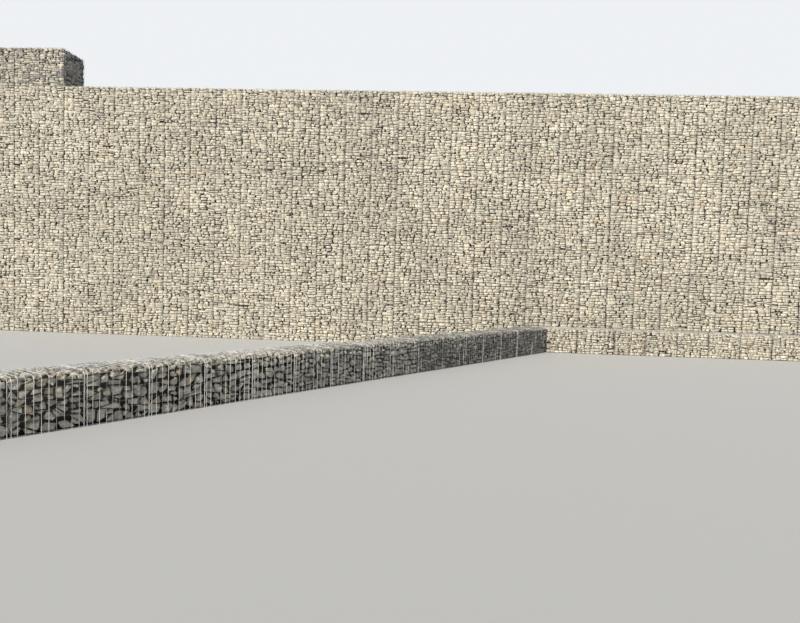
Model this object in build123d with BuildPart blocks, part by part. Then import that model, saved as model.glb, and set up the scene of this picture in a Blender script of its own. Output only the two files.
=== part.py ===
from build123d import *

import math
import os

# Gabion retaining wall: stone-filled baskets of 75 mm square welded mesh, stacked in courses,
# with a low gabion wall that runs along its foot and then turns out in front of it.
# Millimetres. +X runs along the tall wall, -Y is its front, +Z is up.
# The origin is on the ground, at the middle of the whole wall's footprint.

# Driving dimensions: the mesh and its seams
cell = 75.0
wire_seam = 8.0
basket_gap = 10.0
shoulder = 18.0

# Driving dimensions: the tall wall
module = 9 * cell
modules_per_basket = 3
baskets_per_bay = 2
bays = 6
course_height = 13 * cell
base_course_height = 8 * cell
upper_courses = 6
crest_depth = 13 * cell
back_step = 6 * cell
raised_bays = 1

# Driving dimensions: the low wall
low_height = 8 * cell
low_depth = 8 * cell
low_module = 10 * cell
low_modules_per_basket = 2
low_leg_angle = 55.0
low_leg_baskets = 8
low_foot_baskets = 4
low_closer = 12 * cell
low_corner_arm = 10 * cell

# The tall wall's courses and the low wall's leg are each cut into runs of whole baskets
third_names = ("left", "middle", "right")
leg_runs = 3

# Sizes that follow from them
basket_length = modules_per_basket * module
bay_length = baskets_per_bay * basket_length
baskets = bays * baskets_per_bay
wall_length = bays * bay_length
raised_length = raised_bays * bay_length
courses = upper_courses + 1
crest_height = base_course_height + upper_courses * course_height
raised_height = crest_height + course_height
left_end = -wall_length / 2
right_end = wall_length / 2
raised_end = left_end + raised_length
base_depth = crest_depth + upper_courses * back_step

low_basket_length = low_modules_per_basket * low_module
leg_length = low_corner_arm + low_leg_baskets * low_basket_length
foot_length = low_corner_arm + low_closer + low_foot_baskets * low_basket_length
leg_turn = math.radians(low_leg_angle)
leg_reach = leg_length * math.sin(leg_turn) + wire_seam * math.cos(leg_turn)
front_reach = wire_seam + low_depth + max(leg_reach + wire_seam * math.sin(leg_turn), wire_seam)
back_reach = base_depth + wire_seam

# The stone face of the tall wall stands here, so that the footprint's middle is the origin
face = (front_reach - back_reach) / 2
low_back = face - wire_seam
low_face = low_back - low_depth
corner_x = right_end - foot_length

os.makedirs("parts", exist_ok=True)


def course_bottom(course):
    if course == 0:
        return 0.0
    return base_course_height + (course - 1) * course_height


def course_top(course):
    return base_course_height + course * course_height


def course_depth(course):
    return crest_depth + (upper_courses - course) * back_step


def lines(start, pitch, count):
    return [start + pitch * i for i in range(count + 1)]


def runs(count, parts):
    """Cuts a row of baskets into parts: the first basket and the number of baskets of each."""
    edges = [round(count * i / parts) for i in range(parts + 1)]
    return [(low, high - low) for low, high in zip(edges, edges[1:])]


def past_ends(third):
    """How far the wires of a third stand past its stone, where the wall itself ends."""
    at_left = wire_seam if third == 0 else 0.0
    at_right = wire_seam if third == len(third_names) - 1 else 0.0
    return (at_left, at_right)


def finish(piece, name):
    piece.label = name
    export_step(piece, f"parts/{name}.step")


def stone_fill(name, x_lines, depth, bottom, top):
    """Stone of a run of baskets: one block a basket, its front edges worn round."""
    with BuildPart() as fill:
        for x_start, x_stop in zip(x_lines, x_lines[1:]):
            x_low = x_start + (basket_gap / 2 if x_start > left_end else 0.0)
            x_high = x_stop - (basket_gap / 2 if x_stop < right_end else 0.0)
            with Locations((x_low, face, bottom)):
                Box(
                    x_high - x_low,
                    depth,
                    top - bottom,
                    align=(Align.MIN, Align.MIN, Align.MIN),
                )
        front_faces = fill.faces().filter_by(Axis.Y).group_by(Axis.Y)[0]
        chamfer(front_faces.edges(), length=shoulder)
    finish(fill.part, name)


def seam_lattice(name, panels):
    """Seam wires of a run of baskets: flat grids of bars, fused where the grids meet.

    A panel is its plane, its seam lines along the plane's x and y, how far the outermost bars
    stand past the first and last line each way, and the side of the plane that it lies on.
    """
    with BuildPart() as lattice:
        for plane, x_lines, y_lines, x_past, y_past, side in panels:
            x_edges = [x_lines[0] - x_past[0]] + x_lines[1:-1] + [x_lines[-1] + x_past[1]]
            y_edges = [y_lines[0] - y_past[0]] + y_lines[1:-1] + [y_lines[-1] + y_past[1]]
            x_low, x_high = x_edges[0], x_edges[-1]
            y_low, y_high = y_edges[0], y_edges[-1]
            with BuildSketch(plane):
                with Locations(((x_low + x_high) / 2, (y_low + y_high) / 2)):
                    Rectangle(x_high - x_low, y_high - y_low)
                for i in range(len(x_edges) - 1):
                    x_from = x_edges[i] + (wire_seam if i == 0 else wire_seam / 2)
                    x_to = x_edges[i + 1] - (wire_seam if i == len(x_edges) - 2 else wire_seam / 2)
                    for j in range(len(y_edges) - 1):
                        y_from = y_edges[j] + (wire_seam if j == 0 else wire_seam / 2)
                        y_to = y_edges[j + 1] - (wire_seam if j == len(y_edges) - 2 else wire_seam / 2)
                        with Locations(((x_from + x_to) / 2, (y_from + y_to) / 2)):
                            Rectangle(x_to - x_from, y_to - y_from, mode=Mode.SUBTRACT)
            extrude(amount=side * wire_seam)
    finish(lattice.part, name)


# Stone fill of the tall wall, in courses, each in a left, a middle and a right third
thirds = runs(baskets, len(third_names))

for course in range(courses):
    for third_name, (first, count) in zip(third_names, thirds):
        stone_fill(
            f"stone_fill_course_{course}_{third_name}",
            lines(left_end + first * basket_length, basket_length, count),
            course_depth(course),
            course_bottom(course),
            course_top(course),
        )

stone_fill(
    "stone_fill_raised_course",
    lines(left_end, basket_length, raised_bays * baskets_per_bay),
    crest_depth,
    crest_height,
    raised_height,
)

# Seam wires of the tall wall's front, one lattice a third
front_plane = Plane.XZ.offset(-face)
course_lines = [0.0] + [course_top(course) for course in range(courses)]

for third, (first, count) in enumerate(thirds):
    x_start = left_end + first * basket_length
    front_lines = lines(x_start, module, count * modules_per_basket)
    panels = [(front_plane, front_lines, course_lines, past_ends(third), (0.0, wire_seam), 1)]
    if third == 0:
        raised_lines = lines(left_end, module, raised_bays * baskets_per_bay * modules_per_basket)
        raised_z = [crest_height, raised_height]
        raised_past = (wire_seam, wire_seam)
        panels.append((front_plane, raised_lines, raised_z, raised_past, (0.0, wire_seam), 1))
    seam_lattice(f"front_mesh_{third_names[third]}", panels)

# Seam wires of the stepped back, risers and ledges together, one lattice a third
for third, (first, count) in enumerate(thirds):
    x_past = past_ends(third)
    back_lines = lines(left_end + first * basket_length, basket_length, count)
    panels = []
    for course in range(courses):
        depth = course_depth(course)
        riser = Plane.XZ.offset(-(face + depth))
        riser_z = [course_bottom(course), course_top(course)]
        panels.append((riser, back_lines, riser_z, x_past, (0.0, wire_seam), -1))
        if course < courses - 1:
            ledge = Plane.XY.offset(course_top(course))
            ledge_y = [face + course_depth(course + 1), face + depth]
            panels.append((ledge, back_lines, ledge_y, x_past, (0.0, wire_seam), 1))
    if third == 0:
        raised_back = lines(left_end, basket_length, raised_bays * baskets_per_bay)
        riser = Plane.XZ.offset(-(face + crest_depth))
        raised_z = [crest_height, raised_height]
        raised_past = (wire_seam, wire_seam)
        panels.append((riser, raised_back, raised_z, raised_past, (0.0, wire_seam), -1))
    seam_lattice(f"back_mesh_{third_names[third]}", panels)

# Seam wires of the two ends
for end_name, end_x, side in (("left", left_end, -1), ("right", right_end, 1)):
    end_plane = Plane.YZ.offset(end_x)
    panels = []
    for course in range(courses):
        end_y = [face] + lines(face + crest_depth, back_step, upper_courses - course)
        end_z = [course_bottom(course), course_top(course)]
        panels.append((end_plane, end_y, end_z, (0.0, 0.0), (0.0, 0.0), side))
    if end_name == "left":
        end_z = [crest_height, raised_height]
        panels.append((end_plane, [face, face + crest_depth], end_z, (0.0, 0.0), (0.0, 0.0), side))
    seam_lattice(f"{end_name}_end_mesh", panels)

# Lids of the crest, and of the raised course with its end
crest_modules = (bays - raised_bays) * baskets_per_bay * modules_per_basket
raised_modules = raised_bays * baskets_per_bay * modules_per_basket
crest_y = [face, face + crest_depth]
crest_plane = Plane.XY.offset(crest_height)
crest_past = (-wire_seam, wire_seam)
seam_lattice(
    "crest_lid_mesh",
    [(crest_plane, lines(raised_end, module, crest_modules), crest_y, crest_past, (0.0, 0.0), 1)],
)
seam_lattice(
    "raised_lid_mesh",
    [
        (
            Plane.XY.offset(raised_height),
            lines(left_end, module, raised_modules),
            crest_y,
            (wire_seam, wire_seam),
            (0.0, 0.0),
            1,
        ),
        (
            Plane.YZ.offset(raised_end),
            crest_y,
            [crest_height, raised_height],
            (0.0, 0.0),
            (0.0, wire_seam),
            1,
        ),
    ],
)

# The low wall's own frames: one at its foot part, one along the leg that turns out in front.
# On the leg's plane x runs out along the leg and y points out of its front face.
mitre = low_depth * math.tan(leg_turn / 2)
leg_plane = Plane(
    origin=(corner_x, low_face, 0),
    x_dir=(-math.cos(leg_turn), -math.sin(leg_turn), 0),
    z_dir=(0, 0, 1),
)
leg_inward = -leg_plane.y_dir
leg_front = Plane(origin=leg_plane.origin, x_dir=leg_plane.x_dir, z_dir=leg_inward)
leg_rear = leg_front.offset(low_depth)
leg_end = Plane(
    origin=leg_plane.origin + leg_plane.x_dir * leg_length,
    x_dir=leg_plane.y_dir,
    z_dir=leg_plane.x_dir,
)


def leg_fill(name, first_basket, count):
    """Stone of a run of the leg's baskets."""
    with BuildPart(leg_plane) as fill:
        for basket in range(first_basket, first_basket + count):
            start = low_corner_arm + basket * low_basket_length + basket_gap / 2
            stop = low_corner_arm + (basket + 1) * low_basket_length
            if basket < low_leg_baskets - 1:
                stop -= basket_gap / 2
            with Locations((start, 0, 0)):
                Box(
                    stop - start,
                    low_depth,
                    low_height,
                    align=(Align.MIN, Align.MAX, Align.MIN),
                )
        top_faces = fill.faces().filter_by(Axis.Z).group_by(Axis.Z)[-1]
        chamfer(top_faces.edges(), length=shoulder)
    finish(fill.part, name)


for run, (first, count) in enumerate(runs(low_leg_baskets, leg_runs), 1):
    leg_fill(f"low_leg_fill_{run}", first, count)

# Corner unit: the stone of two arms, one each side of a mitre
foot_dir = Vector(1, 0)
leg_dir = Vector(-math.cos(leg_turn), -math.sin(leg_turn))
inner = Vector(corner_x, low_face)
outer = Vector(corner_x - mitre, low_back)
arm = low_corner_arm - basket_gap / 2
foot_back = Vector(corner_x + arm, low_back)
leg_back = inner + leg_dir * arm + leg_inward * low_depth
mitre_line = outer - inner
mitre_turn = math.degrees(math.atan2(mitre_line.Y, mitre_line.X))

with BuildPart() as low_corner_fill:
    with BuildSketch():
        with BuildLine():
            Polyline(
                inner,
                inner + foot_dir * arm,
                foot_back,
                outer,
                leg_back,
                inner + leg_dir * arm,
                close=True,
            )
        make_face()
        with Locations((inner + outer) / 2):
            Rectangle(2 * mitre_line.length, basket_gap, rotation=mitre_turn, mode=Mode.SUBTRACT)
    extrude(amount=low_height)
    top_faces = low_corner_fill.faces().filter_by(Axis.Z).group_by(Axis.Z)[-1]
    chamfer(top_faces.edges(), length=shoulder)
finish(low_corner_fill.part, "low_corner_fill")

with BuildPart() as low_foot_fill:
    start = corner_x + low_corner_arm
    for length in [low_closer] + [low_basket_length] * low_foot_baskets:
        stop = start + length
        x_high = stop - (basket_gap / 2 if stop < right_end else 0.0)
        with Locations((start + basket_gap / 2, low_face, 0)):
            Box(
                x_high - start - basket_gap / 2,
                low_depth,
                low_height,
                align=(Align.MIN, Align.MIN, Align.MIN),
            )
        start = stop
    top_faces = low_foot_fill.faces().filter_by(Axis.Z).group_by(Axis.Z)[-1]
    chamfer(top_faces.edges(), length=shoulder)
finish(low_foot_fill.part, "low_foot_fill")


# Seam wires of the low wall, which like the tall wall has none underneath
def leg_mesh(name, first_basket, count):
    """Seam wires on the front, top and back of a run of the leg, and on its end if it is last."""
    start = low_corner_arm + first_basket * low_basket_length
    x_lines = lines(start, low_module, count * low_modules_per_basket)
    is_last = first_basket + count == low_leg_baskets
    x_past = (0.0, wire_seam if is_last else 0.0)
    upright = [0.0, low_height]
    across = [-low_depth, 0.0]
    panels = [
        (leg_front, x_lines, upright, x_past, (0.0, wire_seam), -1),
        (leg_rear, x_lines, upright, x_past, (0.0, wire_seam), 1),
        (leg_plane.offset(low_height), x_lines, across, x_past, (0.0, 0.0), 1),
    ]
    if is_last:
        panels.append((leg_end, across, upright, (0.0, 0.0), (0.0, 0.0), 1))
    seam_lattice(name, panels)


for run, (first, count) in enumerate(runs(low_leg_baskets, leg_runs), 1):
    leg_mesh(f"low_leg_mesh_{run}", first, count)

foot_start = corner_x + low_corner_arm
foot_modules = low_foot_baskets * low_modules_per_basket
foot_lines = [foot_start] + lines(foot_start + low_closer, low_module, foot_modules)
foot_past = (0.0, wire_seam)
seam_lattice(
    "low_foot_mesh",
    [
        (Plane.XZ.offset(-low_face), foot_lines, [0.0, low_height], foot_past, (0.0, wire_seam), 1),
        (Plane.XY.offset(low_height), foot_lines, [low_face, low_back], foot_past, (0.0, 0.0), 1),
        (Plane.YZ.offset(right_end), [low_face, low_back], [0.0, low_height], (0.0, 0.0), (0.0, 0.0), 1),
    ],
)

# Corner seam wires: a lid with a bar along the mitre, and an upright frame on each face
foot_arm = [inner, inner + foot_dir * low_corner_arm, Vector(foot_start, low_back), outer]
leg_arm_back = inner + leg_dir * low_corner_arm + leg_inward * low_depth
leg_arm = [inner, inner + leg_dir * low_corner_arm, leg_arm_back, outer]
clear_of_wall = wire_seam / math.tan(leg_turn)

with BuildPart() as low_corner_mesh:
    with BuildSketch(Plane.XY.offset(low_height)):
        for outline in (foot_arm, leg_arm):
            with BuildLine():
                Polyline(*outline, close=True)
            lid = make_face()
            offset(lid, amount=-wire_seam, mode=Mode.SUBTRACT)
    extrude(amount=wire_seam)
    for plane, x_low, x_high, side in (
        (Plane.XZ.offset(-low_face), corner_x, foot_start, 1),
        (leg_front, 0.0, low_corner_arm, -1),
        (leg_rear, clear_of_wall - mitre, low_corner_arm, 1),
    ):
        with BuildSketch(plane):
            with Locations(((x_low + x_high) / 2, (low_height + wire_seam) / 2)):
                Rectangle(x_high - x_low, low_height + wire_seam)
                Rectangle(
                    x_high - x_low - 2 * wire_seam,
                    low_height - wire_seam,
                    mode=Mode.SUBTRACT,
                )
        extrude(amount=side * wire_seam)
finish(low_corner_mesh.part, "low_corner_mesh")
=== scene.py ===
import math

import bpy
import numpy as np
from mathutils import Matrix, Vector


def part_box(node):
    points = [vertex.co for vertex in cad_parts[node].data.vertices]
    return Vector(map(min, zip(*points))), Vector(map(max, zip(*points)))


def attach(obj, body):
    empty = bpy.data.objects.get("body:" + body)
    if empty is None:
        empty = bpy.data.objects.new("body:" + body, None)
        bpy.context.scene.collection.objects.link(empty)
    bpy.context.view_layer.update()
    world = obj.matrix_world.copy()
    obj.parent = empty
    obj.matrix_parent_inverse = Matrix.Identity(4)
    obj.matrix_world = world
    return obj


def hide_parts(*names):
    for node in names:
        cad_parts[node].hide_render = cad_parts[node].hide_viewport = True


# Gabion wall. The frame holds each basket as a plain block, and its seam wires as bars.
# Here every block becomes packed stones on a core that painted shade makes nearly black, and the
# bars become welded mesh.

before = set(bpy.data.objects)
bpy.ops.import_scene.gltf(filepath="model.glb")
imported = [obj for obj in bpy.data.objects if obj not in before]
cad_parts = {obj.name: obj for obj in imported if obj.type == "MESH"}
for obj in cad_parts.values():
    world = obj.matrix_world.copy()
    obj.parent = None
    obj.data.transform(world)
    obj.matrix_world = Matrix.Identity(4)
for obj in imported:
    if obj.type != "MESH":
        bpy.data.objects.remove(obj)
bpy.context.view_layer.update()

# Sizes of the baskets, in metres
CELL = 0.075
MODULE = 9 * CELL
COURSE = 13 * CELL
BASE_COURSE = 8 * CELL
COURSES = 7
BASKET_MODULES = 3
BASKET_GAP = 0.01
THIRDS = ("left", "middle", "right")

LOW_MODULE = 10 * CELL
LOW_SIDE = 8 * CELL
LOW_CLOSER = 12 * CELL
LOW_ARM = 10 * CELL
LEG_RUN_MODULES = (6, 4, 6)
FOOT_MODULES = 8
LEG_ANGLE = math.radians(55.0)

# Places, from the frame
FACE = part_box("stone_fill_course_0_left")[0].y
LEFT_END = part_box("stone_fill_course_0_left")[0].x
RIGHT_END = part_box("stone_fill_course_0_right")[1].x
RAISED_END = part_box("stone_fill_raised_course")[1].x
RAISED_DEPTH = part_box("stone_fill_raised_course")[1].y - FACE
LOW_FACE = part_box("low_foot_fill")[0].y
THIRD = (RIGHT_END - LEFT_END) / len(THIRDS)

# Stones. A lap is how far from a corner the stones of an end or a top begin.
SINK = 0.003
WALL_STONE_DEPTH = 0.045
LOW_STONE_DEPTH = 0.055
LOW_BEND = 0.05
WALL_LAP = 0.015
LOW_LAP = 0.02
# Lowers the tones of every stone of the raised course: front, back, ends and top.
RAISED_SHADE = -0.32
LOW_SEAM_GAP = 0.009
EDGE_GAP = 0.003
# The core's tone, which painted shade darkens nearly to black.
CORE_TONE = 0.2

# How stones vary, as ranges of shares of what their stonework says
STONE_SIZES = (0.75, 2.1)
FLATNESSES = (0.75, 1.35)
SPLIT_PLACES = (0.35, 0.65)
SPLIT_HEIGHT = 2.5
BED_JOINT = 1.4
LEAST_JOINT, JOINT_SPREAD, MOST_JOINT = 0.1, 0.45, 2.5
CHIPS = (0.4, 1.6)
BREAK_STARTS = (0.0, 0.3)
BREAK_SLOPES = (0.4, 1.4)
CROWN_PLACES = (-0.2, 0.2)
SUNK_POWER = 1.5
TURNED_SHARE = 0.5
SHADE_SPREAD = 0.03
STAINED_SHARE, STAIN = 0.03, 0.4

# Lengths too small to count, in metres
SHORTEST_JOINT = 0.001
ON_SEAM = 0.0001
LEAST_REACH = 0.02
SLIVER = 0.016
CLEAR_OF_MESH = 0.001

# Wires
# Painted light and shade on the low wall's wires, as offsets to their paleness: the leg's inner
# run duller and its outer run paler, seam wires paler, the foot's wires duller and its seams
# dullest, lid wires paler and the wires along the sides duller.
LEG_WIRE_PAINTED_LIGHT = {1: (-0.14, -0.02), 2: (-0.04, 0.06), 3: (0.04, 0.14)}
FOOT_WIRE_PAINTED_SHADE = (-0.08, -0.14)
LID_WIRE_PAINTED_LIGHT = 0.08
CROSS_WIRE_PAINTED_SHADE = -0.1
WALL_WIRE = 0.0018
LOW_WIRE = 0.0021
LOW_SEAM_WIRE = 0.0028
LOW_CROSS_WIRE = 0.0019
LID_WIRE = 0.002
LACING_WIRE = 0.0016
MESH_DEPTH = 0.008
WALL_SEAM_SPREAD = 0.007
LOW_SEAM_SPREAD = 0.017
LACING_START = 0.02
WIRE_WANDER = 0.0025
BLOOM_SPREAD = 0.06
BEND_STEPS = 4
DEEPEST_IN_BEND = 0.85

X = np.array([1.0, 0.0, 0.0])
Y = np.array([0.0, 1.0, 0.0])
Z = np.array([0.0, 0.0, 1.0])


def add_object(name, data):
    thing = bpy.data.objects.new(name, data)
    bpy.context.scene.collection.objects.link(thing)
    return thing


def quads_between(low, n):
    """Quads between the ring of n points that starts at low and the ring after it."""
    around = np.arange(n)
    after = (around + 1) % n
    high = low + n
    return np.stack([low + around, low + after, high + after, high + around], axis=1)


class Piece:
    """Collects faces with a tone for each face, and for each vertex how far it stands out, which
    the stone material turns into painted shade.
    """

    def __init__(self):
        self.points = []
        self.relief = []
        self.loops = []
        self.sizes = []
        self.tones = []
        self.count = 0

    def add(self, points, relief, loops, sizes, tones):
        self.points.append(points)
        self.relief.append(relief)
        self.loops.append(loops + self.count)
        self.sizes.append(sizes)
        self.tones.append(tones)
        self.count += len(points)

    def add_core(self, outline, bottom, top):
        """An upright block over a convex outline, given anticlockwise from above. Its relief is
        zero, so the stone material paints it nearly black as shade.
        """
        n = len(outline)
        points = np.array([(p[0], p[1], z) for z in (bottom, top) for p in outline])
        around = np.arange(n)
        loops = np.concatenate([quads_between(0, n).ravel(), n + around, around[::-1]])
        sizes = np.array([4] * n + [n, n])
        self.add(points, np.zeros(2 * n), loops, sizes, np.full(n + 2, CORE_TONE))

    def build(self, name, node):
        points = np.concatenate(self.points).astype(np.float32)
        loops = np.concatenate(self.loops).astype(np.int32)
        sizes = np.concatenate(self.sizes).astype(np.int32)
        mesh = bpy.data.meshes.new(name)
        mesh.vertices.add(len(points))
        mesh.vertices.foreach_set("co", points.ravel())
        mesh.loops.add(len(loops))
        mesh.loops.foreach_set("vertex_index", loops)
        mesh.polygons.add(len(sizes))
        starts = np.concatenate([[0], np.cumsum(sizes)[:-1]]).astype(np.int32)
        mesh.polygons.foreach_set("loop_start", starts)
        mesh.polygons.foreach_set("loop_total", sizes)
        mesh.update(calc_edges=True)
        tone = mesh.attributes.new("tone", "FLOAT", "FACE")
        tone.data.foreach_set("value", np.concatenate(self.tones).astype(np.float32))
        relief = mesh.attributes.new("relief", "FLOAT", "POINT")
        relief.data.foreach_set("value", np.concatenate(self.relief).astype(np.float32))
        mesh.materials.append(STONE)
        piece = add_object(name, mesh)
        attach(piece, "root")
        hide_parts(node)


def clip(polygon, normal, limit):
    """The part of a convex polygon where normal . point <= limit."""
    kept = []
    previous = polygon[-1]
    previous_over = normal[0] * previous[0] + normal[1] * previous[1] - limit
    for point in polygon:
        over = normal[0] * point[0] + normal[1] * point[1] - limit
        if (over > 0) != (previous_over > 0):
            share = previous_over / (previous_over - over)
            x = previous[0] + share * (point[0] - previous[0])
            y = previous[1] + share * (point[1] - previous[1])
            kept.append((x, y))
        if over <= 0:
            kept.append(point)
        previous, previous_over = point, over
    return kept


def area(outline):
    x, y = np.transpose(outline)
    return abs(x @ np.roll(y, -1) - y @ np.roll(x, -1)) / 2


def broken_up(outline, kind, rng):
    """Parts of a convex outline, split again and again until each has the size of a stone."""
    parts = [outline]
    stones = []
    while parts:
        part = parts.pop()
        if len(part) < 3 or area(part) < kind.stone_area * rng.uniform(*STONE_SIZES):
            stones.append(part)
            continue
        low, high = np.min(part, axis=0), np.max(part, axis=0)
        width, height = high - low
        middle = low + (high - low) * rng.uniform(*SPLIT_PLACES, 2)
        upright = width > height * kind.flatness * rng.uniform(*FLATNESSES)
        if not upright and height < SPLIT_HEIGHT * kind.thinnest:
            stones.append(part)
            continue
        if upright:
            lean = rng.normal(0.0, kind.upright_lean)
            normal = np.array([math.cos(lean), math.sin(lean)])
        else:
            lean = rng.normal(0.0, kind.bed_lean)
            normal = np.array([math.sin(lean), math.cos(lean)])
        parts.append(clip(part, normal, normal @ middle))
        parts.append(clip(part, -normal, -normal @ middle))
    return stones


def opened(outline, seams, kind, rng):
    """A stone drawn in from its neighbours on each side, more above and below and at seams."""
    stone = outline
    for corner, after in zip(np.array(outline), np.roll(outline, -1, axis=0)):
        side = after - corner
        length = math.hypot(*side)
        if length < SHORTEST_JOINT:
            continue
        normal = np.array([side[1], -side[0]]) / length
        bed = BED_JOINT if abs(normal[1]) > abs(normal[0]) else kind.upright_joint
        if abs(side[0]) < ON_SEAM and min(abs(corner[0] - seams)) < ON_SEAM:
            bed = kind.seam_joint
        gap = kind.joint * bed * min(LEAST_JOINT + rng.exponential(JOINT_SPREAD), MOST_JOINT)
        stone = clip(stone, normal, normal @ corner - gap)
        if len(stone) < 3:
            break
    return stone


def rubble_outlines(outline, kind, rng):
    """Outlines of the stones that fill a convex outline, given anticlockwise."""
    stones = []
    across = np.array(outline)[:, 0]
    seams = np.array([across.min(), across.max()])
    for part in broken_up(outline, kind, rng):
        stone = opened(part, seams, kind, rng) if len(part) >= 3 else part
        if len(stone) >= 3:
            stone = chip_corners(stone, kind, rng)
        if len(stone) >= 3:
            stones.append(stone)
    return stones


def chip_corners(outline, kind, rng):
    """Knocks some corners off a stone, and drops slivers and very short sides."""
    centre = np.mean(outline, axis=0)
    for corner in list(outline):
        if rng.random() > kind.chipped:
            continue
        way = np.array(corner) - centre
        reach = np.linalg.norm(way)
        if reach < LEAST_REACH:
            continue
        way /= reach
        cut = reach + way @ centre - kind.chip * rng.uniform(*CHIPS)
        chipped = clip(outline, way, cut)
        if len(chipped) >= 3:
            outline = chipped
    outline = np.array(outline)
    side = np.roll(outline, -1, axis=0) - outline
    outline = outline[np.hypot(side[:, 0], side[:, 1]) > kind.shortest_side]
    if len(outline) < 3 or min(np.ptp(outline, axis=0)) < SLIVER:
        return []
    return outline


UPRIGHT_FACE = (0.0, 0.0)


class BrokenFace:
    """The outer side of one quarried stone: a leaning flat, cut off by a few sloping breaks."""

    def __init__(self, centre, size, kind, rng):
        self.centre = centre
        self.tilt = rng.normal(kind.lean, kind.tilt)
        turns = rng.uniform(0.0, 2 * math.pi, kind.breaks)
        self.ways = np.stack([np.cos(turns), np.sin(turns)])
        self.starts = rng.uniform(*BREAK_STARTS, kind.breaks) * size
        self.slopes = rng.uniform(*BREAK_SLOPES, kind.breaks)

    def depth(self, places):
        offset = places - self.centre
        breaks = (offset @ self.ways - self.starts) * self.slopes
        return offset @ self.tilt + np.max(breaks, axis=1, initial=0.0)


class Pattern:
    """Stones that fill one rectangle of basket face, ready to be laid many times.

    Each stone is a ring on the core, one or two rings nearer the mesh, and a crown point.
    """

    def __init__(self, width, height, outlines, kind, rng):
        self.width = width
        self.height = height
        self.depth = kind.depth
        self.sunk = kind.sunk
        self.tones = kind.tones
        self.can_turn = kind.lean == UPRIGHT_FACE
        self.stones = len(outlines)
        flat, back, relief, stone, loops, sizes, face_stone = [], [], [], [], [], [], []
        count = 0
        rings = len(kind.rings)
        for index, outline in enumerate(outlines):
            n = len(outline)
            outline = np.array(outline)
            centre = outline.mean(axis=0)
            size = np.sqrt(np.prod(np.ptp(outline, axis=0)))
            face = BrokenFace(centre, size, kind, rng)
            for ring, (shares, depths, stands) in enumerate(kind.rings):
                place = centre + (outline - centre) * rng.uniform(*shares, n)[:, None]
                if ring:
                    place += rng.normal(0.0, kind.rough * size, (n, 2))
                    place = np.clip(place, 0.0, (width, height))
                flat.append(place)
                broken_off = face.depth(place) if ring else 0.0
                back.append(rng.uniform(*depths, n) * kind.depth + broken_off)
                relief.append(np.full(n, stands))
                stone.append(np.full(n, index))
            crown = (centre + rng.uniform(*CROWN_PLACES, 2) * size)[None, :]
            flat.append(crown)
            back.append(face.depth(crown))
            relief.append(np.ones(1))
            stone.append(np.array([index]))
            around = np.arange(n)
            after = (around + 1) % n
            for ring in range(rings - 1):
                loops.append(quads_between(count + ring * n, n).ravel())
                sizes.append(np.full(n, 4))
                face_stone.append(np.full(n, index))
            high = count + (rings - 1) * n
            fan = np.stack([high + around, high + after, np.full(n, count + rings * n)], axis=1)
            loops.append(fan.ravel())
            sizes.append(np.full(n, 3))
            face_stone.append(np.full(n, index))
            count += rings * n + 1
        self.flat = np.concatenate(flat)
        self.back = np.concatenate(back)
        self.relief = np.concatenate(relief)
        self.stone = np.concatenate(stone)
        self.loops = np.concatenate(loops)
        self.sizes = np.concatenate(sizes)
        self.face_stone = np.concatenate(face_stone)

    def lay(self, piece, surface, rng, shade=0.0, turn=True):
        """Add the pattern to a piece. surface gives points from places on the face and depths."""
        flat = self.flat
        if turn and self.can_turn and rng.random() < TURNED_SHARE:
            flat = np.array([self.width, self.height]) - flat
        shift = self.sunk * rng.uniform(0.0, 1.0, self.stones) ** SUNK_POWER
        raised = self.relief > 0.0
        lowest = np.full(self.stones, np.inf)
        np.minimum.at(lowest, self.stone, self.back)
        back = self.back.copy()
        back[raised] += (shift - lowest + CLEAR_OF_MESH)[self.stone[raised]]
        back[~raised] = self.depth + SINK
        back = np.minimum(back, self.depth + SINK)
        tone = np.clip(rng.uniform(*self.tones, self.stones) + shade, 0.0, 1.0)
        tone[rng.random(self.stones) < STAINED_SHARE] *= STAIN
        piece.add(surface(flat, back), self.relief, self.loops, self.sizes, tone[self.face_stone])


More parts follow.
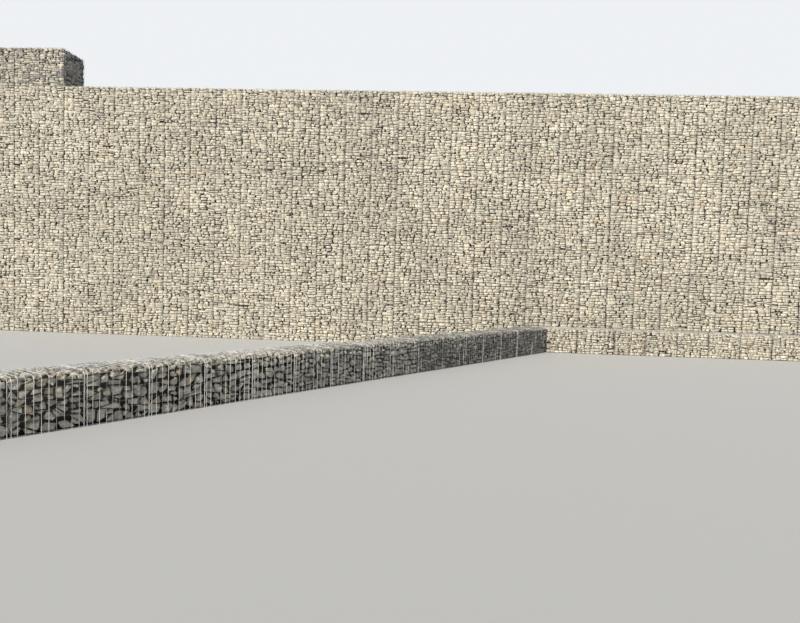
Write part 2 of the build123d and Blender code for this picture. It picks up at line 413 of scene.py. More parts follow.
class Stonework:
    """A way of packing stones. It makes and keeps patterns for each size of rectangle.

    flatness is how wide a stone is for its height, and thinnest about the least height. The
    leans are how far its beds and its upright joints slope. upright_joint and seam_joint widen
    joint at its sides. chip is how much a corner loses, and chipped the share of corners that
    lose it. sunk is how far back from the mesh a stone may sit. tilt is how unevenly the faces
    lean, and lean how much they all do. breaks counts the sloping planes that cut off a face.
    rings gives, for each ring, its share of the outline, its extra depth and how far it stands
    out, which sets its painted shade.
    """

    def __init__(
        self, stone_area, flatness, thinnest, bed_lean, upright_lean, joint, upright_joint,
        seam_joint, chip, chipped, shortest_side, depth, sunk, tilt, breaks, rough, rings, tones,
        variants, lean=UPRIGHT_FACE,
    ):
        self.stone_area = stone_area
        self.flatness = flatness
        self.thinnest = thinnest
        self.bed_lean = bed_lean
        self.upright_lean = upright_lean
        self.joint = joint
        self.upright_joint = upright_joint
        self.seam_joint = seam_joint
        self.chip = chip
        self.chipped = chipped
        self.shortest_side = shortest_side
        self.depth = depth
        self.sunk = sunk
        self.tilt = tilt
        self.breaks = breaks
        self.rough = rough
        self.rings = rings
        self.tones = tones
        self.variants = variants
        self.lean = lean
        self.rng = np.random.default_rng(20)
        self.kept = {}

    def pattern(self, width, height, edges, rng):
        patterns = self.kept.setdefault((round(width, 4), round(height, 4), edges), [])
        if len(patterns) < self.variants:
            left, bottom, right, top = edges
            x_high, y_high = width - right, height - top
            outline = [(left, bottom), (x_high, bottom), (x_high, y_high), (left, y_high)]
            stones = rubble_outlines(outline, self, self.rng)
            patterns.append(Pattern(width, height, stones, self, self.rng))
            return patterns[-1]
        return patterns[rng.integers(len(patterns))]

    def cover(self, piece, origin, along, up, widths, height, rng, shade=0.0):
        """Cover a flat strip of basket face, one pattern for each width."""
        outward = np.cross(along, up)
        start = np.array(origin, float)
        for width in widths:
            pattern = self.pattern(width, height, (0.0, EDGE_GAP, 0.0, EDGE_GAP), rng)

            def surface(flat, back, start=start):
                return start + flat[:, :1] * along + flat[:, 1:] * up - back[:, None] * outward

            pattern.lay(piece, surface, rng, rng.normal(shade, SHADE_SPREAD))
            start = start + along * width


def value_range(nodes, source, target):
    node = nodes.new("ShaderNodeMapRange")
    node.inputs["From Min"].default_value, node.inputs["From Max"].default_value = source
    node.inputs["To Min"].default_value, node.inputs["To Max"].default_value = target
    return node


def noise(nodes, links, place, scale, detail):
    node = nodes.new("ShaderNodeTexNoise")
    node.inputs["Scale"].default_value = scale
    node.inputs["Detail"].default_value = detail
    links.new(place, node.inputs["Vector"])
    return node


def combined(nodes, links, operation, first, second):
    node = nodes.new("ShaderNodeMath")
    node.operation = operation
    links.new(first, node.inputs[0])
    links.new(second, node.inputs[1])
    return node.outputs[0]


def new_material(name):
    material = bpy.data.materials.new(name)
    material.use_nodes = True
    return material, material.node_tree.nodes, material.node_tree.links


def stone_material():
    """Quarried stone: pale cream and grey blocks, each with its own tone, with painted shade
    darkening their sides down into the joints.
    """
    material, nodes, links = new_material("quarried_stone")
    shader = nodes["Principled BSDF"]
    shader.inputs["Roughness"].default_value = 0.9
    shader.inputs["Specular IOR Level"].default_value = 0.25

    tone = nodes.new("ShaderNodeAttribute")
    tone.attribute_name = "tone"
    ramp = nodes.new("ShaderNodeValToRGB")
    tones = (
        (0.0, (0.17, 0.17, 0.168)),
        (0.1, (0.33, 0.327, 0.312)),
        (0.25, (0.53, 0.51, 0.46)),
        (0.45, (0.64, 0.608, 0.525)),
        (0.75, (0.74, 0.7, 0.595)),
        (0.95, (0.81, 0.772, 0.67)),
        (0.975, (0.66, 0.555, 0.43)),
        (1.0, (0.58, 0.47, 0.36)),
    )
    elements = ramp.color_ramp.elements
    for element, (position, colour) in zip(elements, (tones[0], tones[-1])):
        element.position = position
        element.color = (*colour, 1.0)
    for position, colour in tones[1:-1]:
        elements.new(position).color = (*colour, 1.0)
    links.new(tone.outputs["Fac"], ramp.inputs[0])

    place = nodes.new("ShaderNodeTexCoord").outputs["Object"]
    mottle = noise(nodes, links, place, 26.0, 6.0)
    mottle.inputs["Roughness"].default_value = 0.65
    mottle_range = value_range(nodes, (0.3, 0.7), (0.42, 1.3))
    links.new(mottle.outputs["Fac"], mottle_range.inputs["Value"])

    weather = noise(nodes, links, place, 0.7, 3.0)
    weather_range = value_range(nodes, (0.35, 0.65), (0.88, 1.05))
    links.new(weather.outputs["Fac"], weather_range.inputs["Value"])

    # Painted shade: the colour darkens towards black as the relief falls, down each stone's sides
    # into the joints and over the core.
    relief = nodes.new("ShaderNodeAttribute")
    relief.attribute_name = "relief"
    painted_joint_shade = value_range(nodes, (0.1, 1.0), (0.04, 1.0))
    links.new(relief.outputs["Fac"], painted_joint_shade.inputs["Value"])

    levels = painted_joint_shade.outputs[0]
    for other in (mottle_range, weather_range):
        levels = combined(nodes, links, "MULTIPLY", levels, other.outputs[0])
    colour = nodes.new("ShaderNodeMix")
    colour.data_type = "RGBA"
    colour.blend_type = "MULTIPLY"
    colour.inputs["Factor"].default_value = 1.0
    links.new(ramp.outputs["Color"], colour.inputs["A"])
    links.new(levels, colour.inputs["B"])
    links.new(colour.outputs["Result"], shader.inputs["Base Color"])

    grain = noise(nodes, links, place, 50.0, 6.0)
    bump = nodes.new("ShaderNodeBump")
    bump.inputs["Strength"].default_value = 0.9
    bump.inputs["Distance"].default_value = 0.014
    links.new(grain.outputs["Fac"], bump.inputs["Height"])
    links.new(bump.outputs["Normal"], shader.inputs["Normal"])
    return material


def wire_material():
    """Dull galvanised wire, paler in random patches as the zinc weathers, with painted light and
    shade making some wires paler and others duller.
    """
    material, nodes, links = new_material("galvanised_wire")
    shader = nodes["Principled BSDF"]
    shader.inputs["Metallic"].default_value = 0.25
    place = nodes.new("ShaderNodeTexCoord")
    stretch = nodes.new("ShaderNodeMapping")
    stretch.inputs["Scale"].default_value = (9.0, 9.0, 1.5)
    links.new(place.outputs["Object"], stretch.inputs["Vector"])
    bloom_and_painted_light = noise(nodes, links, stretch.outputs["Vector"], 1.6, 4.0)
    ramp = nodes.new("ShaderNodeValToRGB")
    dull, bright = ramp.color_ramp.elements
    dull.position, dull.color = 0.4, (0.2, 0.205, 0.21, 1.0)
    bright.position, bright.color = 0.62, (0.84, 0.86, 0.88, 1.0)
    # Painted light and shade on each wire, added to the random weathering of the zinc.
    weathering_and_painted_light = nodes.new("ShaderNodeAttribute")
    weathering_and_painted_light.attribute_name = "bloom_and_painted_light"
    total = combined(nodes, links, "ADD", bloom_and_painted_light.outputs["Fac"], weathering_and_painted_light.outputs["Fac"])
    links.new(total, ramp.inputs[0])
    links.new(ramp.outputs["Color"], shader.inputs["Base Color"])
    rough = value_range(nodes, (0.0, 1.0), (0.38, 0.62))
    links.new(total, rough.inputs["Value"])
    links.new(rough.outputs[0], shader.inputs["Roughness"])
    return material


STONE = stone_material()
WIRE = wire_material()

# Each ring: its share of the outline, its extra depth, and its relief, which the stone material
# turns into painted shade, darkest at 0.
WALL_RINGS = (((1.0, 1.0), (1.0, 1.0), 0.0), ((0.93, 1.0), (0.0, 0.1), 1.0))
LOW_RINGS = (
    ((1.0, 1.0), (1.0, 1.0), 0.0),
    ((0.94, 1.0), (0.25, 0.55), 0.75),
    ((0.55, 0.88), (0.0, 0.08), 1.0),
)
front_work = Stonework(
    stone_area=0.0073, flatness=2.5, thinnest=0.038, bed_lean=0.06, upright_lean=0.16,
    joint=0.0062, upright_joint=0.25, seam_joint=0.7, chip=0.022, chipped=0.22,
    shortest_side=0.009, depth=WALL_STONE_DEPTH, sunk=0.02, tilt=0.06, breaks=1, rough=0.0,
    rings=WALL_RINGS, tones=(0.38, 0.97), variants=72,
)
back_work = Stonework(
    stone_area=0.0115, flatness=2.2, thinnest=0.042, bed_lean=0.07, upright_lean=0.15,
    joint=0.007, upright_joint=0.4, seam_joint=0.7, chip=0.022, chipped=0.22,
    shortest_side=0.012, depth=WALL_STONE_DEPTH, sunk=0.018, tilt=0.08, breaks=1, rough=0.0,
    rings=WALL_RINGS, tones=(0.3, 0.98), variants=24,
)
foot_work = Stonework(
    stone_area=0.0058, flatness=2.1, thinnest=0.032, bed_lean=0.08, upright_lean=0.18,
    joint=0.0055, upright_joint=0.35, seam_joint=0.8, chip=0.018, chipped=0.25,
    shortest_side=0.007, depth=LOW_STONE_DEPTH, sunk=0.018, tilt=0.06, breaks=1, rough=0.0,
    rings=WALL_RINGS, tones=(0.45, 0.97), variants=10,
)
# Painted shade and light in the leg's tones: the inner run's stones darkest and the outer run's
# palest, following how the light falls along the leg.
inner_work = Stonework(
    stone_area=0.0056, flatness=1.3, thinnest=0.034, bed_lean=0.17, upright_lean=0.22,
    joint=0.0075, upright_joint=0.6, seam_joint=0.4, chip=0.018, chipped=0.45,
    shortest_side=0.006, depth=LOW_STONE_DEPTH, sunk=0.03, tilt=0.26, breaks=2, rough=0.02,
    rings=LOW_RINGS, tones=(0.0, 0.4), variants=12,
)
middle_work = Stonework(
    stone_area=0.0085, flatness=1.25, thinnest=0.042, bed_lean=0.17, upright_lean=0.22,
    joint=0.0066, upright_joint=0.6, seam_joint=0.4, chip=0.022, chipped=0.5,
    shortest_side=0.006, depth=LOW_STONE_DEPTH, sunk=0.026, tilt=0.26, breaks=3, rough=0.02,
    rings=LOW_RINGS, tones=(0.02, 0.7), variants=8, lean=(-0.15, 0.1),
)
outer_work = Stonework(
    stone_area=0.0115, flatness=1.2, thinnest=0.048, bed_lean=0.2, upright_lean=0.24,
    joint=0.0065, upright_joint=0.65, seam_joint=0.4, chip=0.028, chipped=0.55,
    shortest_side=0.006, depth=LOW_STONE_DEPTH, sunk=0.024, tilt=0.28, breaks=3, rough=0.02,
    rings=LOW_RINGS, tones=(0.25, 1.02), variants=12, lean=(-0.22, 0.14),
)
LEG_WORKS = {1: inner_work, 2: middle_work, 3: outer_work}


def course_z(course):
    bottom = 0.0 if course == 0 else BASE_COURSE + (course - 1) * COURSE
    return bottom, BASE_COURSE + course * COURSE


def seeded(name):
    return np.random.default_rng(sum(ord(letter) * (i + 1) for i, letter in enumerate(name)))


def wall_run(
    name, node, x_low, x_high, bottom, top, depth, ledge=0.0, top_from=None, shade=0.0
):
    """Stones of one course of one third: its front and back, and any ledge, crest or end."""
    piece = Piece()
    rng = seeded(name)
    inset = WALL_STONE_DEPTH
    modules = [MODULE] * round((x_high - x_low) / MODULE)
    height = top - bottom
    back_y = FACE + depth
    left_inset = inset if x_low == LEFT_END else 0.0
    right_inset = inset if x_high in (RIGHT_END, RAISED_END) else 0.0
    front_work.cover(piece, (x_low, FACE, bottom), X, Z, modules, height, rng, shade)
    back_work.cover(piece, (x_high, back_y, bottom), -X, Z, modules, height, rng, shade)
    end_width = depth - 2 * WALL_LAP
    end_widths = [end_width / round(end_width / MODULE)] * round(end_width / MODULE)
    if left_inset:
        end_start = (x_low, back_y - WALL_LAP, bottom)
        back_work.cover(piece, end_start, -Y, Z, end_widths, height, rng, shade)
    if right_inset:
        end_start = (x_high, FACE + WALL_LAP, bottom)
        back_work.cover(piece, end_start, Y, Z, end_widths, height, rng, shade)

    def cover_top(work, start, start_lap, y_low, width):
        widths = [MODULE] * round((x_high - start) / MODULE)
        widths[0] -= start_lap
        widths[-1] -= WALL_LAP if right_inset else 0.0
        corner = (start + start_lap, y_low, top)
        work.cover(piece, corner, X, Y, widths, width, rng, shade)

    if ledge:
        left_lap = WALL_LAP if left_inset else 0.0
        cover_top(back_work, x_low, left_lap, back_y - ledge, ledge - WALL_LAP)
    if top_from is not None:
        start_lap = WALL_LAP if left_inset and top_from <= x_low else 0.0
        top_width = depth - 2 * WALL_LAP
        cover_top(front_work, max(x_low, top_from), start_lap, FACE + WALL_LAP, top_width)
    core_left, core_right = x_low + left_inset, x_high - right_inset
    core_front, core_back = FACE + inset, back_y - inset
    outline = [
        (core_left, core_front),
        (core_right, core_front),
        (core_right, core_back),
        (core_left, core_back),
    ]
    has_top = ledge or top_from is not None
    piece.add_core(outline, bottom, top - (inset if has_top else 0.0))
    piece.build(name, node)


CREST = course_z(COURSES - 1)[1]

for course in range(COURSES):
    bottom, top = course_z(course)
    for third, third_name in enumerate(THIRDS):
        name = f"stones_course_{course}_{third_name}"
        node = f"stone_fill_course_{course}_{third_name}"
        x_low = LEFT_END + third * THIRD
        x_high = RIGHT_END if third == len(THIRDS) - 1 else LEFT_END + (third + 1) * THIRD
        back_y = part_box(node)[1].y
        if course < COURSES - 1:
            ledge = back_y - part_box(f"stone_fill_course_{course + 1}_{third_name}")[1].y
            wall_run(name, node, x_low, x_high, bottom, top, back_y - FACE, ledge=ledge)
        else:
            wall_run(name, node, x_low, x_high, bottom, top, back_y - FACE, top_from=RAISED_END)

wall_run(
    "stones_raised_course",
    "stone_fill_raised_course",
    LEFT_END,
    RAISED_END,
    CREST,
    CREST + COURSE,
    RAISED_DEPTH,
    top_from=LEFT_END,
    shade=RAISED_SHADE,
)


class LowRun:
    """A straight arm of the low wall. Its length is measured from its left end, seen from the
    front, and places round its section run up the front, over the top and down the back."""

    def __init__(self, origin, along, front, open_back):
        self.origin = np.array(origin)
        self.along = np.array(along)
        self.front = np.array(front)
        self.flat_top = LOW_SIDE - (2 * LOW_BEND if open_back else LOW_BEND)

    def at(self, length, back, up):
        length, back, up = np.broadcast_arrays(length, back, up)
        points = self.origin + length[..., None] * self.along
        return points - back[..., None] * self.front + up[..., None] * Z

    def wrap(self, around, depth):
        """Distance behind the front and height, for a place round the section and a depth."""
        radius = LOW_BEND - np.minimum(depth, DEEPEST_IN_BEND * LOW_BEND)
        turn = np.clip((around - UPRIGHT) / LOW_BEND, 0.0, math.pi / 2)
        across = around - UPRIGHT - QUARTER
        past = across - self.flat_top
        back_turn = np.clip(past / LOW_BEND, 0.0, math.pi / 2)
        zones = [around < UPRIGHT, across < 0.0, past < 0.0, past < QUARTER]
        backs = [
            depth,
            LOW_BEND - radius * np.cos(turn),
            LOW_BEND + across,
            LOW_BEND + self.flat_top + radius * np.sin(back_turn),
        ]
        ups = [
            around,
            UPRIGHT + radius * np.sin(turn),
            LOW_SIDE - depth,
            UPRIGHT + radius * np.cos(back_turn),
        ]
        back = np.select(zones, backs, LOW_SIDE - depth)
        up = np.select(zones, ups, UPRIGHT - (past - QUARTER))
        return back, up

    def surface(self, start):
        def place(flat, depth):
            back, up = self.wrap(flat[:, 1], depth)
            return self.at(start + flat[:, 0], back, up)

        return place


QUARTER = LOW_BEND * math.pi / 2
UPRIGHT = LOW_SIDE - LOW_BEND
FRONT_AND_TOP = 2 * UPRIGHT + QUARTER
ALL_ROUND = 2 * UPRIGHT + 2 * QUARTER + LOW_SIDE - 2 * LOW_BEND
LOW_EDGES = (LOW_SEAM_GAP, EDGE_GAP, LOW_SEAM_GAP, EDGE_GAP)
MITRE_SLOPE = math.tan(LEG_ANGLE / 2)
MITRE = LOW_SIDE * MITRE_SLOPE
MITRE_FROM = FRONT_AND_TOP - LOW_SIDE

CORNER = np.array([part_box("low_foot_fill")[0].x - BASKET_GAP / 2 - LOW_ARM, LOW_FACE, 0.0])
INWARD = np.array([math.cos(LEG_ANGLE), math.sin(LEG_ANGLE), 0.0])
LEG_FRONT = np.array([math.sin(LEG_ANGLE), -math.cos(LEG_ANGLE), 0.0])
LEG_LENGTH = LOW_ARM + sum(LEG_RUN_MODULES) * LOW_MODULE
LEG_ARM_START = LEG_LENGTH - LOW_ARM
FOOT_LENGTH = RIGHT_END - CORNER[0]
leg = LowRun(CORNER - INWARD * LEG_LENGTH, INWARD, LEG_FRONT, True)
foot = LowRun(CORNER, X, -Y, False)

CORE_NEAR = LOW_STONE_DEPTH
CORE_FAR = LOW_SIDE - LOW_STONE_DEPTH
CORE_TOP = LOW_SIDE - LOW_STONE_DEPTH


def cover_low(piece, work, run, start, widths, around, rng):
    """Stones round the section of an arm, one pattern for each width."""
    for width in widths:
        pattern = work.pattern(width, around, LOW_EDGES, rng)
        pattern.lay(piece, run.surface(start), rng, rng.normal(0.0, SHADE_SPREAD))
        start += width


def cover_mitre(piece, work, run, start, corners, rng):
    """Stones cut to a convex outline, given anticlockwise, on the mitred part of an arm."""
    low = np.min(corners, axis=0)
    corners = np.array(corners) - low
    width, around = np.max(corners, axis=0)
    stones = rubble_outlines([tuple(corner) for corner in corners], work, rng)
    place = run.surface(start + low[0])

    def surface(flat, depth):
        return place(flat + np.array([0.0, low[1]]), depth)

    Pattern(width, around, stones, work, rng).lay(piece, surface, rng, turn=False)


# The leg's third run is its outer one, which ends in the open
leg_starts = {}
start = 0.0
for run_number in (3, 2, 1):
    name = f"stones_low_leg_{run_number}"
    modules = LEG_RUN_MODULES[run_number - 1]
    stop = start + modules * LOW_MODULE
    piece = Piece()
    rng = seeded(name)
    work = LEG_WORKS[run_number]
    cover_low(piece, work, leg, start, [LOW_MODULE] * modules, ALL_ROUND, rng)
    core_start = start
    if run_number == 3:
        core_start = LOW_STONE_DEPTH
        end_left = leg.at(0.0, LOW_SIDE - LOW_LAP, 0.0)
        end_width = LOW_SIDE - 2 * LOW_LAP
        work.cover(piece, end_left, LEG_FRONT, Z, [end_width], LOW_SIDE - LOW_LAP, rng)
    corners = (
        (core_start, CORE_NEAR),
        (stop, CORE_NEAR),
        (stop, CORE_FAR),
        (core_start, CORE_FAR),
    )
    piece.add_core([leg.at(*corner, 0.0) for corner in corners], 0.0, CORE_TOP)
    piece.build(name, f"low_leg_fill_{run_number}")
    leg_starts[run_number] = start
    start = stop

# The foot ends level with the tall wall
piece = Piece()
rng = seeded("stones_low_foot")
foot_widths = [LOW_CLOSER] + [LOW_MODULE] * FOOT_MODULES
cover_low(piece, foot_work, foot, LOW_ARM, foot_widths, FRONT_AND_TOP, rng)
end_left = foot.at(FOOT_LENGTH, LOW_LAP, 0.0)
foot_work.cover(piece, end_left, Y, Z, [LOW_SIDE - LOW_LAP], LOW_SIDE - LOW_LAP, rng)
stop = FOOT_LENGTH - LOW_STONE_DEPTH
corners = ((LOW_ARM, CORE_NEAR), (stop, CORE_NEAR), (stop, LOW_SIDE), (LOW_ARM, LOW_SIDE))
piece.add_core([foot.at(*corner, 0.0) for corner in corners], 0.0, CORE_TOP)
piece.build("stones_low_foot", "low_foot_fill")

# The corner unit: both arms, with the stones behind the inner corner cut to the mitre
piece = Piece()
rng = seeded("stones_low_corner")
cover_low(piece, inner_work, leg, LEG_ARM_START, [LOW_ARM], ALL_ROUND, rng)
cover_low(piece, foot_work, foot, 0.0, [LOW_ARM], FRONT_AND_TOP, rng)
leg_part = [(0.0, MITRE_FROM), (MITRE, FRONT_AND_TOP), (MITRE, ALL_ROUND), (0.0, ALL_ROUND)]
foot_part = [(0.0, MITRE_FROM), (0.0, FRONT_AND_TOP), (-MITRE, FRONT_AND_TOP)]
cover_mitre(piece, inner_work, leg, LEG_LENGTH, leg_part, rng)
cover_mitre(piece, foot_work, foot, 0.0, foot_part, rng)
near_shift, far_shift = CORE_NEAR * MITRE_SLOPE, CORE_FAR * MITRE_SLOPE
leg_core = (
    (LEG_ARM_START, CORE_NEAR),
    (LEG_LENGTH + near_shift, CORE_NEAR),
    (LEG_LENGTH + far_shift, CORE_FAR),
    (LEG_ARM_START, CORE_FAR),
)
foot_core = (
    (-near_shift, CORE_NEAR),
    (LOW_ARM, CORE_NEAR),
    (LOW_ARM, LOW_SIDE),
    (-MITRE, LOW_SIDE),
)
piece.add_core([leg.at(*corner, 0.0) for corner in leg_core], 0.0, CORE_TOP)
piece.add_core([foot.at(*corner, 0.0) for corner in foot_core], 0.0, CORE_TOP)
piece.build("stones_low_corner", "low_corner_fill")


class Wires:
    """Collects wires as slim tubes, joined into one piece. bloom_and_painted_light is how pale a
    wire is: random paleness from weathering of the zinc plus painted light and shade.
    """

    def __init__(self, sides):
        self.angles = (np.arange(sides) + 0.5) / sides * 2 * math.pi
        self.points = []
        self.bloom_and_painted_light = []
        self.loops = []
        self.count = 0

    def path(self, points, side, radius, bloom_and_painted_light=0.0):
        """A wire through points that lie in one plane. side is that plane's normal."""
        points = np.array(points, float)
        steps = np.diff(points, axis=0)
        steps /= np.linalg.norm(steps, axis=1)[:, None]
        ways = np.concatenate([steps[:1], steps[:-1] + steps[1:], steps[-1:]])
        ways /= np.linalg.norm(ways, axis=1)[:, None]
        outs = np.cross(side, ways)
        cosines, sines = np.cos(self.angles), np.sin(self.angles)
        rings = cosines[None, :, None] * outs[:, None, :] + sines[None, :, None] * np.array(side)
        self.points.append((points[:, None, :] + radius * rings).reshape(-1, 3))
        n = len(self.angles)
        self.bloom_and_painted_light.append(np.full(len(points) * n, bloom_and_painted_light))
        for ring in range(len(points) - 1):
            self.loops.append(quads_between(self.count + ring * n, n))
        self.count += len(points) * n

    def build(self, name, node):
        loops = np.concatenate(self.loops)
        mesh = bpy.data.meshes.new(name)
        mesh.from_pydata(np.concatenate(self.points).tolist(), [], loops.tolist())
        mesh.polygons.foreach_set("use_smooth", np.ones(len(loops), bool))
        bloom_and_painted_light = mesh.attributes.new("bloom_and_painted_light", "FLOAT", "POINT")
        bloom_and_painted_light.data.foreach_set("value", np.concatenate(self.bloom_and_painted_light).astype(np.float32))
        mesh.materials.append(WIRE)
        piece = add_object(name, mesh)
        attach(piece, "root")
        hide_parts(node)


def wire_places(length, seams, spread):
    """Where the wires across a run stand: one every cell, and one each side of every seam."""
    places = []
    previous = 0.0
    for seam in seams:
        if seam > previous:
            cells = round((seam - previous) / CELL)
            places += [previous + i * (seam - previous) / cells for i in range(1, cells)]
        places += [place for place in (seam - spread, seam + spread) if 0.0 < place < length]
        previous = seam
    return places


def mesh_panel(wires, origin, along, up, width, height, seams_along, seams_up=None):
    """Welded mesh on one flat face: wires each way every cell, doubled where baskets meet."""
    origin = np.array(origin, float)
    out = np.cross(along, up)
    inner = origin + out * WALL_WIRE
    outer = origin + out * (MESH_DEPTH - WALL_WIRE)
    for place in wire_places(width, seams_along, WALL_SEAM_SPREAD):
        start = outer + along * place
        wires.path([start, start + up * height], along, WALL_WIRE)
    for place in wire_places(height, seams_up or [0.0, height], WALL_SEAM_SPREAD):
        start = inner + up * place
        wires.path([start, start + along * width], up, WALL_WIRE)


def module_lines(length, modules=1):
    return [i * MODULE for i in range(0, round(length / MODULE) + 1, modules)]


COURSE_LINES = [0.0] + [course_z(course)[1] for course in range(COURSES)]
RAISED_LENGTH = RAISED_END - LEFT_END

for third, third_name in enumerate(THIRDS):
    x_low = LEFT_END + third * THIRD
    front = Wires(4)
    mesh_panel(front, (x_low, FACE, 0.0), X, Z, THIRD, CREST, module_lines(THIRD), COURSE_LINES)
    back = Wires(4)
    basket_lines = module_lines(THIRD, BASKET_MODULES)
    for course in range(COURSES):
        bottom, top = course_z(course)
        back_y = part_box(f"stone_fill_course_{course}_{third_name}")[1].y
        riser = (x_low + THIRD, back_y, bottom)
        mesh_panel(back, riser, -X, Z, THIRD, top - bottom, basket_lines)
        if course < COURSES - 1:
            ledge_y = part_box(f"stone_fill_course_{course + 1}_{third_name}")[1].y
            mesh_panel(back, (x_low, ledge_y, top), X, Y, THIRD, back_y - ledge_y, basket_lines)
    if third == 0:
        raised_front = (LEFT_END, FACE, CREST)
        mesh_panel(front, raised_front, X, Z, RAISED_LENGTH, COURSE, module_lines(RAISED_LENGTH))
        raised_back = (RAISED_END, FACE + RAISED_DEPTH, CREST)
        raised_lines = module_lines(RAISED_LENGTH, BASKET_MODULES)
        mesh_panel(back, raised_back, -X, Z, RAISED_LENGTH, COURSE, raised_lines)
    front.build(f"welded_mesh_front_{third_name}", f"front_mesh_{third_name}")
    back.build(f"welded_mesh_back_{third_name}", f"back_mesh_{third_name}")

for end_name, end_x in (("left", LEFT_END), ("right", RIGHT_END)):
    end = Wires(4)
    panels = [
        (*course_z(course), f"stone_fill_course_{course}_{end_name}") for course in range(COURSES)
    ]
    if end_name == "left":
        panels.append((CREST, CREST + COURSE, "stone_fill_raised_course"))
    for bottom, top, node in panels:
        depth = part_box(node)[1].y - FACE
        start_y = FACE if end_name == "right" else FACE + depth
        along = Y if end_name == "right" else -Y
        mesh_panel(end, (end_x, start_y, bottom), along, Z, depth, top - bottom, [0.0, depth])
    end.build(f"welded_mesh_end_{end_name}", f"{end_name}_end_mesh")

crest = Wires(4)
crest_length = RIGHT_END - RAISED_END
crest_lines = module_lines(crest_length)
mesh_panel(crest, (RAISED_END, FACE, CREST), X, Y, crest_length, RAISED_DEPTH, crest_lines)
crest.build("welded_mesh_crest_lid", "crest_lid_mesh")

raised = Wires(4)
raised_top = (LEFT_END, FACE, CREST + COURSE)
mesh_panel(raised, raised_top, X, Y, RAISED_LENGTH, RAISED_DEPTH, module_lines(RAISED_LENGTH))
mesh_panel(raised, (RAISED_END, FACE, CREST), Y, Z, RAISED_DEPTH, COURSE, [0.0, RAISED_DEPTH])
raised.build("welded_mesh_raised_lid", "raised_lid_mesh")


def section_path(run, length, first, last, lift):
    """Points of a wire that follows the section of an arm, at one place along it."""
    bends = []
    for bend in (UPRIGHT, UPRIGHT + QUARTER + run.flat_top):
        bends += [bend + QUARTER * i / BEND_STEPS for i in range(BEND_STEPS + 1)]
    places = np.array([first] + [place for place in bends if first < place < last] + [last])
    back, up = run.wrap(places, np.full(len(places), -lift))
    return run.at(length, back, up)


def low_mesh(wires, run, start, stop, seams, last, wire_painted_light, rng):
    """Welded mesh bent round an arm: wires round its section, and wires along it.
    wire_painted_light holds the painted light and shade of the plain wires and of those at seams."""
    for place in wire_places(stop - start, [seam - start for seam in seams], LOW_SEAM_SPREAD):
        from_seam = min(abs(start + place - seam) for seam in seams)
        at_seam = int(from_seam < CELL / 2)
        radius = LOW_SEAM_WIRE if at_seam else LOW_WIRE
        length = start + place + rng.normal(0.0, WIRE_WANDER)
        path = section_path(run, length, 0.0, last, MESH_DEPTH - radius)
        wires.path(path, run.along, radius, rng.normal(wire_painted_light[at_seam], BLOOM_SPREAD))
    cells = round(last / CELL)
    for i in range(cells + 1):
        in_lid = UPRIGHT < last * i / cells < ALL_ROUND - UPRIGHT
        radius = LID_WIRE if in_lid else LOW_CROSS_WIRE
        place = min(max(last * i / cells, radius), last - radius)
        centre = run.wrap(np.array([place, place]), np.full(2, -radius))
        surface = run.wrap(np.array([place, place]), np.zeros(2))
        ends = np.array([start, stop])
        path = run.at(ends, *centre)
        normal = (path - run.at(ends, *surface))[0] / radius
        wires.path(path, normal, radius, LID_WIRE_PAINTED_LIGHT if in_lid else CROSS_WIRE_PAINTED_SHADE)


def low_lacing(wires, run, seams, last):
    """Lacing between the two wires of each seam: a thin wire that crosses in every cell."""
    lift = MESH_DEPTH - LACING_WIRE
    for seam in seams:
        for i in range(int((last - CELL) / CELL)):
            side = 1 if i % 2 else -1
            places = np.array([i * CELL + LACING_START, (i + 1) * CELL + LACING_START])
            back, up = run.wrap(places, np.full(2, -lift))
            ends = np.array([seam - LOW_SEAM_SPREAD * side, seam + LOW_SEAM_SPREAD * side])
            path = run.at(ends, back, up)
            normal = np.cross(path[1] - path[0], run.along)
            wires.path(path, normal / np.linalg.norm(normal), LACING_WIRE)


def low_end(wires, run, length, along, open_back):
    """Welded mesh on the end of an arm. along runs from left to right, seen from outside."""
    out = np.cross(along, Z)
    inner, outer = out * LOW_WIRE, out * (MESH_DEPTH - LOW_WIRE)
    cells = round(LOW_SIDE / CELL)
    for i in range(cells + 1):
        place = min(max(i * CELL, LOW_WIRE), LOW_SIDE - LOW_WIRE)
        at_bend = i == 0 or (i == cells and open_back)
        foot_point = run.at(length, place, 0.0) + outer
        height = UPRIGHT if at_bend else LOW_SIDE
        wires.path([foot_point, foot_point + Z * height], along, LOW_WIRE)
        near = LOW_BEND if i == cells else LOW_WIRE
        far = LOW_SIDE - (LOW_BEND if i == cells and open_back else LOW_WIRE)
        row = [run.at(length, near, place) + inner, run.at(length, far, place) + inner]
        wires.path(row, Z, LOW_WIRE)


for run_number, start in leg_starts.items():
    name = f"welded_mesh_low_leg_{run_number}"
    seams = [start + i * LOW_MODULE for i in range(LEG_RUN_MODULES[run_number - 1] + 1)]
    wires = Wires(6)
    wire_painted_light = LEG_WIRE_PAINTED_LIGHT[run_number]
    low_mesh(wires, leg, start, seams[-1], seams, ALL_ROUND, wire_painted_light, seeded(name))
    low_lacing(wires, leg, seams[1:-1], ALL_ROUND)
    if run_number == 3:
        low_end(wires, leg, 0.0, LEG_FRONT, True)
    wires.build(name, f"low_leg_mesh_{run_number}")

wires = Wires(6)
rng = seeded("welded_mesh_low_foot")
foot_seams = [LOW_ARM] + [LOW_ARM + LOW_CLOSER + i * LOW_MODULE for i in range(FOOT_MODULES + 1)]
low_mesh(wires, foot, LOW_ARM, FOOT_LENGTH, foot_seams, FRONT_AND_TOP, FOOT_WIRE_PAINTED_SHADE, rng)
low_lacing(wires, foot, foot_seams[1:-1], FRONT_AND_TOP)
low_end(wires, foot, FOOT_LENGTH, Y, False)
wires.build("welded_mesh_low_foot", "low_foot_mesh")

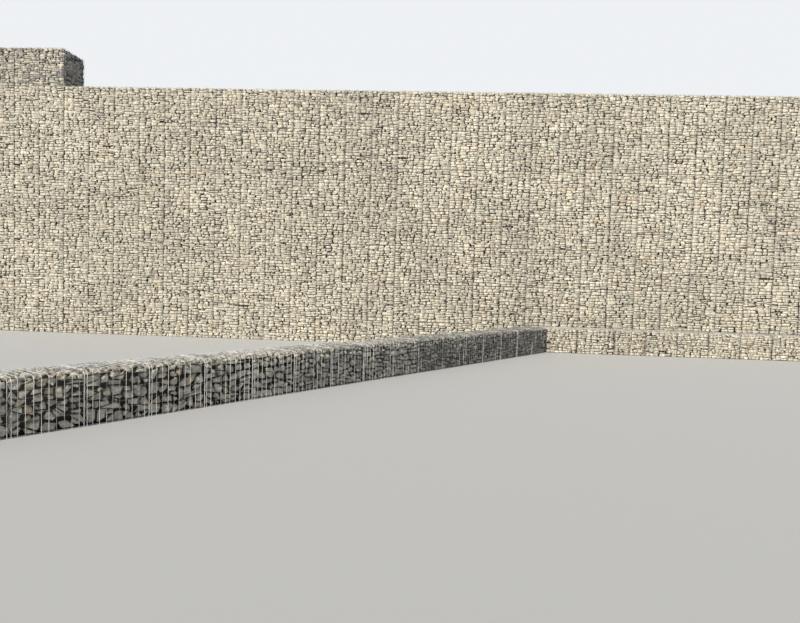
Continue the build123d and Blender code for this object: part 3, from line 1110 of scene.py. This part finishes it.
wires = Wires(6)
rng = seeded("welded_mesh_low_corner")
leg_seams = [LEG_ARM_START, LEG_LENGTH]
low_mesh(wires, leg, LEG_ARM_START, LEG_LENGTH, leg_seams, ALL_ROUND, LEG_WIRE_PAINTED_LIGHT[1], rng)
low_mesh(wires, foot, 0.0, LOW_ARM, [0.0, LOW_ARM], FRONT_AND_TOP, FOOT_WIRE_PAINTED_SHADE, rng)
lid_outer = LOW_SIDE + MESH_DEPTH - LOW_WIRE
for run, joint, way, last in ((leg, LEG_LENGTH, 1, ALL_ROUND), (foot, 0.0, -1, FRONT_AND_TOP)):
    for i in range(1, int(MITRE / CELL) + 1):
        first = MITRE_FROM + i * CELL / MITRE_SLOPE
        path = section_path(run, joint + way * i * CELL, first, last, MESH_DEPTH - LOW_WIRE)
        wires.path(path, run.along, LOW_WIRE)
    for i in range(1, round(LOW_SIDE / CELL)):
        behind = i * CELL
        mitre_end = joint + way * behind * MITRE_SLOPE
        ends = [run.at(place, behind, LOW_SIDE + LOW_WIRE) for place in (joint, mitre_end)]
        wires.path(ends, Z, LOW_WIRE)
    beside = joint - way * 2 * LOW_WIRE
    near_end = run.at(beside + way * LOW_BEND * MITRE_SLOPE, LOW_BEND, lid_outer)
    far_end = run.at(beside + way * MITRE, LOW_SIDE, lid_outer)
    wires.path([near_end, far_end], Z, LOW_WIRE)
wires.build("welded_mesh_low_corner", "low_corner_mesh")


def floor_and_world():
    """A plain pale floor under a pale world that the camera and glossy surfaces see as white."""
    size = 1500.0
    mesh = bpy.data.meshes.new("floor")
    corners = [(-size, -size, 0.0), (size, -size, 0.0), (size, size, 0.0), (-size, size, 0.0)]
    mesh.from_pydata(corners, [], [(0, 1, 2, 3)])
    material, nodes, _ = new_material("floor")
    shader = nodes["Principled BSDF"]
    shader.inputs["Base Color"].default_value = (0.61, 0.625, 0.65, 1.0)
    shader.inputs["Roughness"].default_value = 0.9
    mesh.materials.append(material)
    floor = add_object("floor", mesh)

    world = bpy.data.worlds.new("studio")
    bpy.context.scene.world = world
    world.use_nodes = True
    nodes, links = world.node_tree.nodes, world.node_tree.links
    nodes.clear()
    output = nodes.new("ShaderNodeOutputWorld")
    light = nodes.new("ShaderNodeBackground")
    light.inputs["Color"].default_value = (0.86, 0.92, 1.0, 1.0)
    light.inputs["Strength"].default_value = 0.35
    backdrop = nodes.new("ShaderNodeBackground")
    backdrop.inputs["Color"].default_value = (0.86, 0.88, 0.9, 1.0)
    backdrop.inputs["Strength"].default_value = 1.0
    path = nodes.new("ShaderNodeLightPath")
    seen = path.outputs["Is Camera Ray"]
    for other in ("Is Glossy Ray", "Is Transmission Ray"):
        seen = combined(nodes, links, "MAXIMUM", seen, path.outputs[other])
    mix = nodes.new("ShaderNodeMixShader")
    links.new(seen, mix.inputs[0])
    links.new(light.outputs[0], mix.inputs[1])
    links.new(backdrop.outputs[0], mix.inputs[2])
    links.new(mix.outputs[0], output.inputs[0])


def key_light():
    """Soft low light from behind and left of the camera, as on the photographed wall."""
    light = bpy.data.lights.new("key", "SUN")
    light.energy = 4.35
    light.angle = math.radians(5.0)
    light.color = (1.0, 0.915, 0.765)
    lamp = add_object("key", light)
    elevation = math.radians(23.0)
    way = Vector((0.512, 0.859, 0.0)).normalized() * math.cos(elevation)
    towards = way - Vector((0.0, 0.0, math.sin(elevation)))
    lamp.rotation_euler = towards.to_track_quat("-Z", "Y").to_euler()


def camera():
    """The photograph's viewpoint: standing height, a little turned, tipped and rolled."""
    focal_pixels = 640.0
    frame_pixels = 800.0
    data = bpy.data.cameras.new("camera")
    data.sensor_width = 36.0
    data.lens = data.sensor_width * focal_pixels / frame_pixels
    data.clip_end = 500.0
    view = add_object("camera", data)
    yaw = math.radians(-3.12)
    pitch = math.radians(2.85)
    roll = math.radians(1.73)
    forward = Vector(
        (math.sin(yaw) * math.cos(pitch), math.cos(yaw) * math.cos(pitch), -math.sin(pitch))
    )
    level_right = Vector((math.cos(yaw), -math.sin(yaw), 0.0))
    level_up = level_right.cross(forward)
    right = math.cos(roll) * level_right + math.sin(roll) * level_up
    up = math.cos(roll) * level_up - math.sin(roll) * level_right
    turn = Matrix((right, up, -forward)).transposed()
    place = Vector((1.751, FACE - 16.432, 1.676))
    view.matrix_world = Matrix.Translation(place) @ turn.to_4x4()
    bpy.context.scene.camera = view


floor_and_world()
key_light()
camera()
bpy.context.scene.view_settings.view_transform = "Standard"
